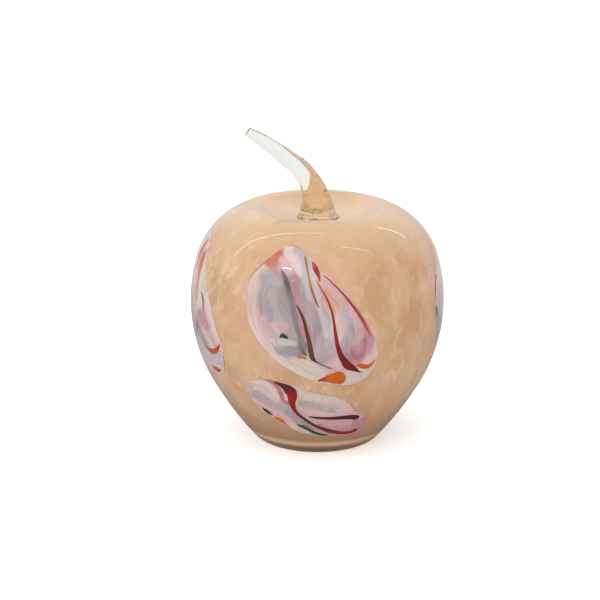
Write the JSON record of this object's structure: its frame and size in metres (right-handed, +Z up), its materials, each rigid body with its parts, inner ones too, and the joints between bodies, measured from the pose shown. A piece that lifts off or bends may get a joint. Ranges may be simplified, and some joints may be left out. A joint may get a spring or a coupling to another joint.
{
  "type": "art glass apple ornament",
  "caption": "Hollow blown glass apple, peach with marbled colour shards under clear glass, with a pulled clear glass stem; stands on its flat base.",
  "frame": {"origin": "middle of the flat underside, at the lowest point", "axes": "+Z up through the body's axis; -Y is the front, with the large shard; the stem bends towards -X"},
  "size_m": [0.12, 0.12, 0.15],
  "materials": {
    "clear_glass": "clear colourless glass, fire polished, thick over the colour",
    "stem_glass": "clear colourless glass, pulled and fire polished, faint draw lines",
    "peach_glass": "opaque peach glass with cloudy mottling",
    "core_glass": "pale inner glass of the first gather",
    "marbled_glass": "opaque glass marbled in lilac, white, pink and grey",
    "red_glass": "opaque dark red glass strands",
    "olive_glass": "opaque olive brown glass strands",
    "orange_glass": "opaque orange glass strands",
    "green_glass": "opaque dark green glass strands"
  },
  "bodies": {
    "root": {"clear_casing": "clear_glass", "colour_coat": "peach_glass", "core_bubble": "core_glass", "stem": "stem_glass", "back_green_strands": "green_glass", "back_orange_strands": "orange_glass", "back_red_strands": "red_glass", "back_shard": "marbled_glass", "front_green_strands": "green_glass", "front_olive_strands": "olive_glass", "front_orange_strands": "orange_glass", "front_red_strands": "red_glass", "front_shard": "marbled_glass", "left_olive_strands": "olive_glass", "left_orange_strands": "orange_glass", "left_red_strands": "red_glass", "left_shard": "marbled_glass", "low_back_green_strands": "green_glass", "low_back_red_strands": "red_glass", "low_back_shard": "marbled_glass", "low_green_strands": "green_glass", "low_orange_strands": "orange_glass", "low_red_strands": "red_glass", "low_shard": "marbled_glass", "right_olive_strands": "olive_glass", "right_orange_strands": "orange_glass", "right_red_strands": "red_glass", "right_shard": "marbled_glass"}
  },
  "joints": []
}
